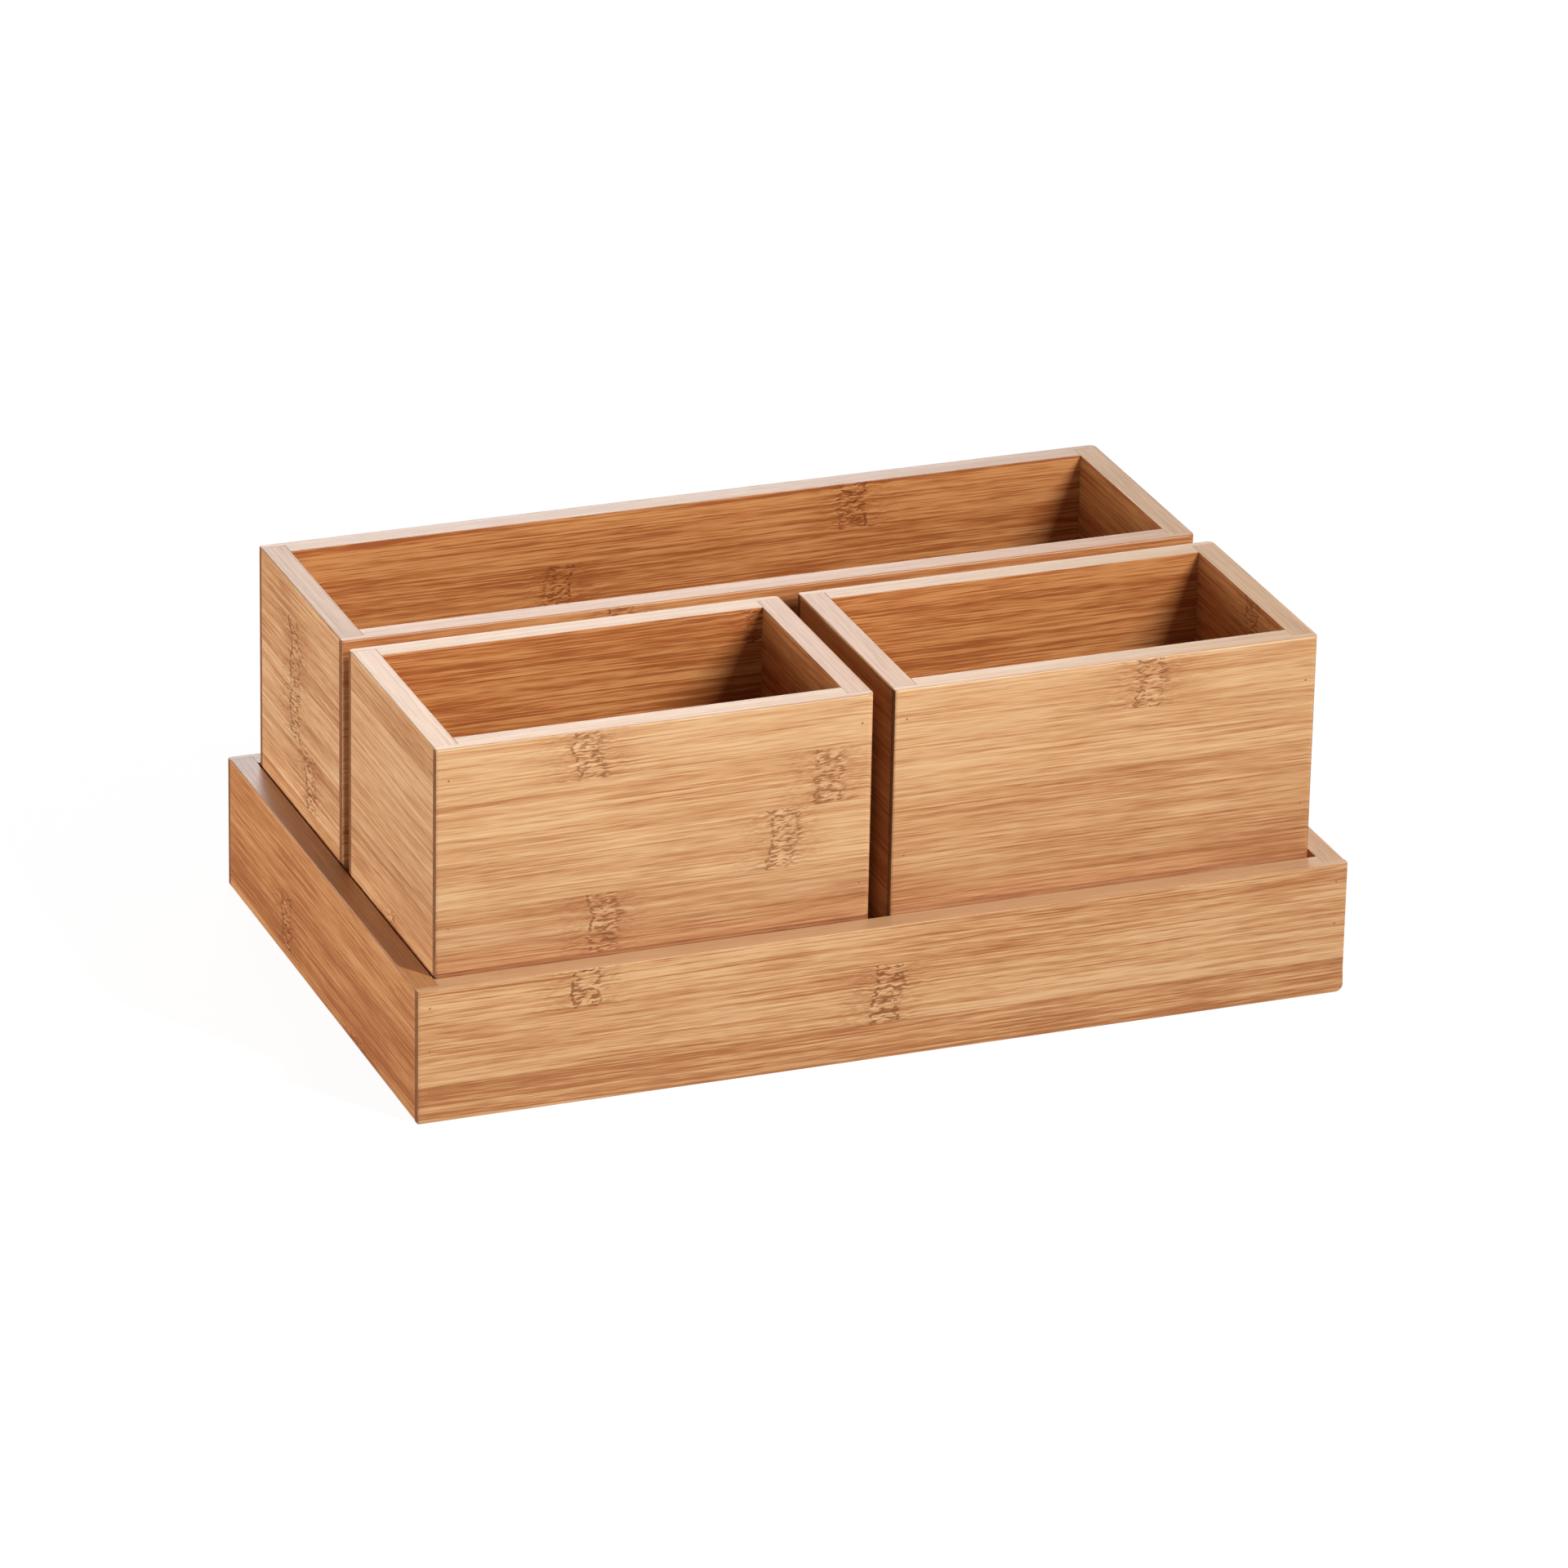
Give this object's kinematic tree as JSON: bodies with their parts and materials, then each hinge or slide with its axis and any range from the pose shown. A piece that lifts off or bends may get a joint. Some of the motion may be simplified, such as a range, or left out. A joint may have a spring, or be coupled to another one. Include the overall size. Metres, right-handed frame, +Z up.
{
  "type": "desk organiser",
  "caption": "Shallow bamboo tray holding one long open pen box behind two short ones side by side; each is a rabbeted, pinned board case.",
  "frame": {"origin": "middle of the tray's underside, on the surface it stands on", "axes": "+X along the long side, to the right seen from the front; +Y towards the back, where the long box stands; +Z up"},
  "size_m": [0.24, 0.149, 0.093],
  "materials": {
    "bamboo": "clear satin lacquer on laminated bamboo",
    "bamboo_side": "clear satin lacquer on laminated bamboo",
    "bamboo_floor": "clear satin lacquer on laminated bamboo",
    "pin_steel": "dull steel, darkened by filler"
  },
  "bodies": {
    "tray": {"tray_front": "bamboo", "tray_back": "bamboo", "tray_left": "bamboo_side", "tray_right": "bamboo_side", "tray_floor": "bamboo_floor"},
    "long_box": {"long_box_front": "bamboo", "long_box_back": "bamboo", "long_box_left": "bamboo_side", "long_box_right": "bamboo_side", "long_box_floor": "bamboo_floor", "long_box_pin_front_left_low": "pin_steel", "long_box_pin_front_left_mid": "pin_steel", "long_box_pin_front_left_high": "pin_steel", "long_box_pin_back_left_low": "pin_steel", "long_box_pin_back_left_mid": "pin_steel", "long_box_pin_back_left_high": "pin_steel", "long_box_pin_front_right_low": "pin_steel", "long_box_pin_front_right_mid": "pin_steel", "long_box_pin_front_right_high": "pin_steel", "long_box_pin_back_right_low": "pin_steel", "long_box_pin_back_right_mid": "pin_steel", "long_box_pin_back_right_high": "pin_steel"},
    "left_box": {"left_box_front": "bamboo", "left_box_back": "bamboo", "left_box_left": "bamboo_side", "left_box_right": "bamboo_side", "left_box_floor": "bamboo_floor", "left_box_pin_front_left_low": "pin_steel", "left_box_pin_front_left_mid": "pin_steel", "left_box_pin_front_left_high": "pin_steel", "left_box_pin_back_left_low": "pin_steel", "left_box_pin_back_left_mid": "pin_steel", "left_box_pin_back_left_high": "pin_steel", "left_box_pin_front_right_low": "pin_steel", "left_box_pin_front_right_mid": "pin_steel", "left_box_pin_front_right_high": "pin_steel", "left_box_pin_back_right_low": "pin_steel", "left_box_pin_back_right_mid": "pin_steel", "left_box_pin_back_right_high": "pin_steel"},
    "right_box": {"right_box_front": "bamboo", "right_box_back": "bamboo", "right_box_left": "bamboo_side", "right_box_right": "bamboo_side", "right_box_floor": "bamboo_floor", "right_box_pin_front_left_low": "pin_steel", "right_box_pin_front_left_mid": "pin_steel", "right_box_pin_front_left_high": "pin_steel", "right_box_pin_back_left_low": "pin_steel", "right_box_pin_back_left_mid": "pin_steel", "right_box_pin_back_left_high": "pin_steel", "right_box_pin_front_right_low": "pin_steel", "right_box_pin_front_right_mid": "pin_steel", "right_box_pin_front_right_high": "pin_steel", "right_box_pin_back_right_low": "pin_steel", "right_box_pin_back_right_mid": "pin_steel", "right_box_pin_back_right_high": "pin_steel"}
  },
  "joints": [
    {"name": "long_box_lift", "type": "slide", "parent": "tray", "child": "long_box", "axis": [0, 0, 1], "range_m": [0, 0.1]},
    {"name": "left_box_lift", "type": "slide", "parent": "tray", "child": "left_box", "axis": [0, 0, 1], "range_m": [0, 0.1]},
    {"name": "right_box_lift", "type": "slide", "parent": "tray", "child": "right_box", "axis": [0, 0, 1], "range_m": [0, 0.1]}
  ]
}
